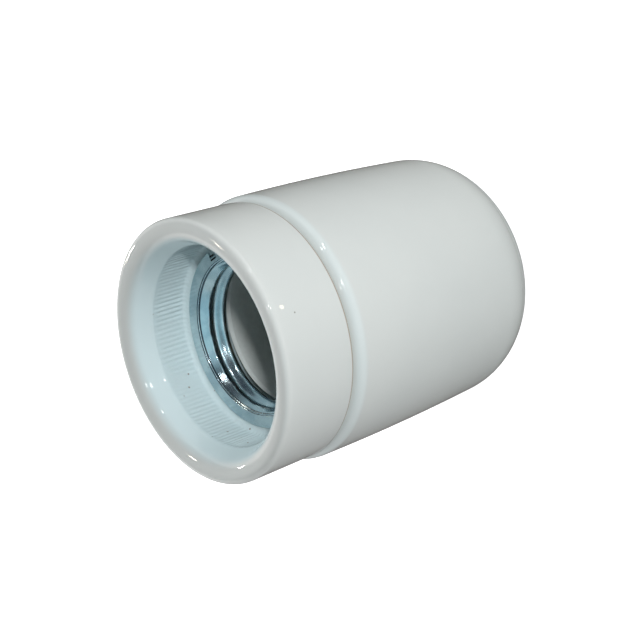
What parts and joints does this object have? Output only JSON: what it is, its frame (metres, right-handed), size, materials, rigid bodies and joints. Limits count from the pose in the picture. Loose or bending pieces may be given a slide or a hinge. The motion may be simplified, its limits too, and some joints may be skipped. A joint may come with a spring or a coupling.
{
  "type": "lamp holder",
  "caption": "Porcelain lamp holder for an E27 cap: rear dome, screw-on front ring with rolled steel thread sleeve, contact block with terminals, threaded cable entry.",
  "frame": {"origin": "centre of the flat rear face, on the common axis", "axes": "+Z along the axis out of the lamp opening, +X over the notch of the thread sleeve's flange; the holder stands on its rear face"},
  "size_m": [0.0456, 0.0456, 0.0623],
  "materials": {
    "glazed_porcelain": "white glaze, glossy",
    "bare_porcelain": "unglazed, matt",
    "zinc_sheet": "bright zinc plated",
    "plated_steel": "zinc plated, turned",
    "screw_steel": "zinc plated",
    "spring_bronze": "bright spring bronze",
    "brass": "machined",
    "fibre": "vulcanised fibre"
  },
  "bodies": {
    "dome": {"rear_dome": "glazed_porcelain", "entry_bush": "plated_steel", "seat_washer": "fibre", "entry_washer": "plated_steel", "entry_nut": "plated_steel", "tube_lock_screw": "screw_steel", "earth_tag": "brass", "earth_screw": "screw_steel"},
    "insert": {"contact_block": "bare_porcelain", "live_rivet": "brass", "neutral_rivet": "brass", "live_rivet_washer": "fibre", "neutral_rivet_washer": "fibre", "live_terminal": "brass", "neutral_terminal": "brass"},
    "ring": {"front_ring": "glazed_porcelain", "thread_sleeve": "zinc_sheet"},
    "centre_spring": {"centre_contact": "spring_bronze"},
    "side_spring": {"side_contact": "spring_bronze"},
    "live_screw": {"live_terminal_screw": "screw_steel"},
    "neutral_screw": {"neutral_terminal_screw": "screw_steel"}
  },
  "joints": [
    {"name": "ring_lift", "type": "slide", "parent": "dome", "child": "insert", "axis": [0, 0, 1], "range_m": [0, 0.01]},
    {"name": "ring_turn", "type": "hinge", "parent": "insert", "child": "ring", "pos_m": [0, 0, 0.05], "axis": [0, 0, 1], "range_deg": [0, 900]},
    {"name": "centre_flex", "type": "hinge", "parent": "insert", "child": "centre_spring", "pos_m": [-0.0072, 0, 0.02797], "axis": [0, 1, 0], "range_deg": [0, 6], "stiffness_Nm_per_rad": 0.1},
    {"name": "side_flex", "type": "hinge", "parent": "insert", "child": "side_spring", "pos_m": [0.0072, 0, 0.02797], "axis": [0, 1, 0], "range_deg": [0, 3], "stiffness_Nm_per_rad": 0.1},
    {"name": "live_screw_travel", "type": "slide", "parent": "insert", "child": "live_screw", "axis": [-1, 0, 0], "range_m": [0, 0.0012]},
    {"name": "neutral_screw_travel", "type": "slide", "parent": "insert", "child": "neutral_screw", "axis": [1, 0, 0], "range_m": [0, 0.0012]}
  ],
  "couplings": [
    {"joint": "ring_lift", "follows": "ring_turn", "m_per_rad": 0.0006366}
  ]
}
